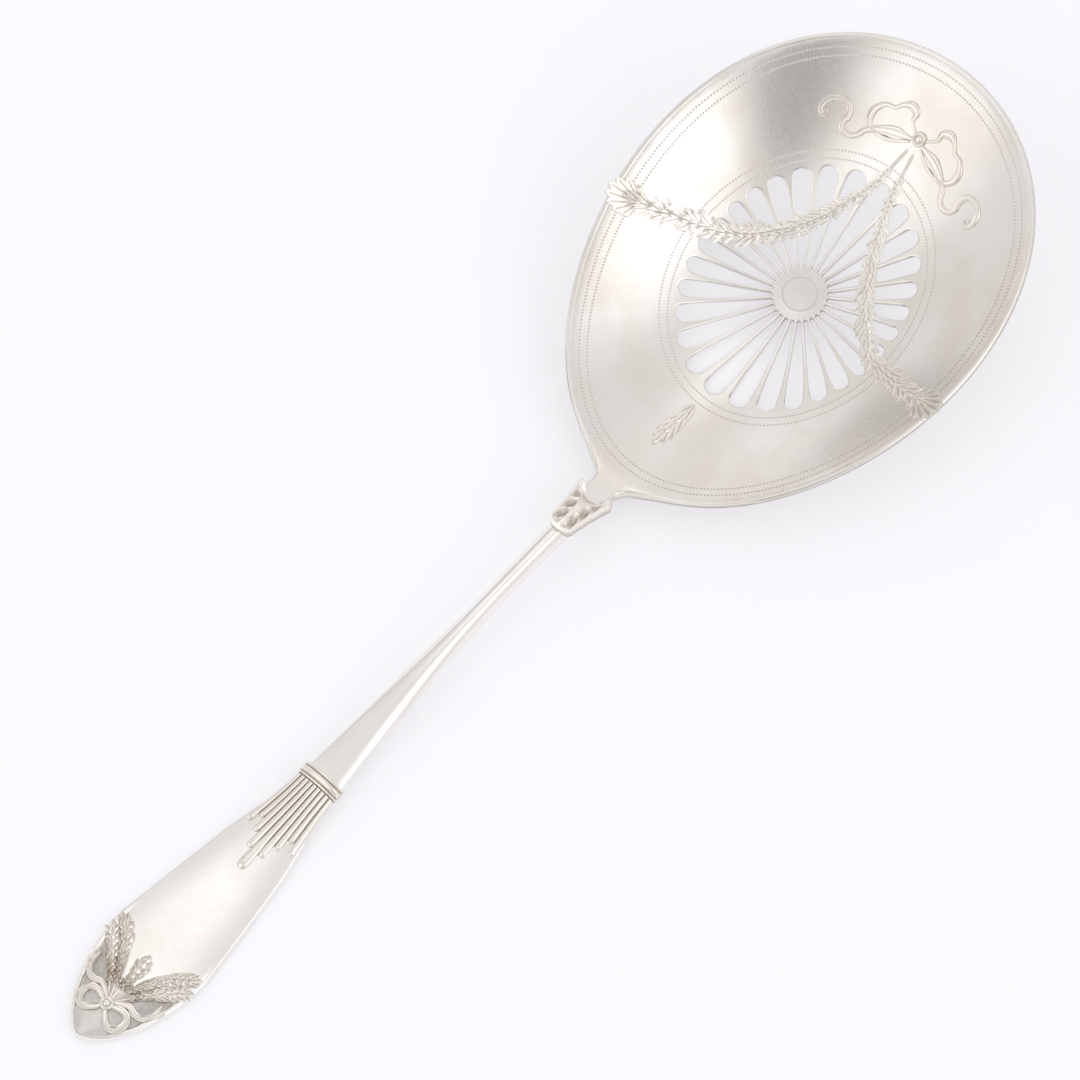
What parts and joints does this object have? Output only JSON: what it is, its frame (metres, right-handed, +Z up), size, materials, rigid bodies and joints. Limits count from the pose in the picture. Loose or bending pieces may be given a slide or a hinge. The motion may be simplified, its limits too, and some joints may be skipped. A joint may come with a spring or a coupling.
{
  "type": "fruit spoon",
  "caption": "Pierced silver fruit spoon: egg-shaped draining bowl with a sunburst of slots, laurel swags and a ribbon bow, on a slim stem with tied reeds and a pointed end.",
  "frame": {"origin": "on the table plane, half way along the spoon and on its middle plane", "axes": "+X from the handle's point to the far side of the bowl, +Z up with the spoon lying open side up, +Y to the left seen from the handle"},
  "size_m": [0.215, 0.0693, 0.0269],
  "materials": {
    "silver": null,
    "chased_silver": null
  },
  "bodies": {
    "root": {"bowl": "silver", "stem": "silver", "neck_cap": "chased_silver", "bow_knot": "silver", "leaf_sprig": "chased_silver", "reed_tie": "silver", "reed_1": "silver", "reed_2": "silver", "reed_3": "silver", "reed_4": "silver", "reed_5": "silver", "reed_6": "silver", "reed_7": "silver", "reed_8": "silver", "reed_9": "silver", "end_knot": "silver", "ear_centre": "chased_silver", "swag_left": "chased_silver", "bow_loop_left": "silver", "bow_tail_left": "silver", "end_loop_left": "silver", "end_tail_left": "silver", "ear_inner_left": "chased_silver", "ear_outer_left": "chased_silver", "swag_right": "chased_silver", "bow_loop_right": "silver", "bow_tail_right": "silver", "end_loop_right": "silver", "end_tail_right": "silver", "ear_inner_right": "chased_silver", "ear_outer_right": "chased_silver"}
  },
  "joints": []
}
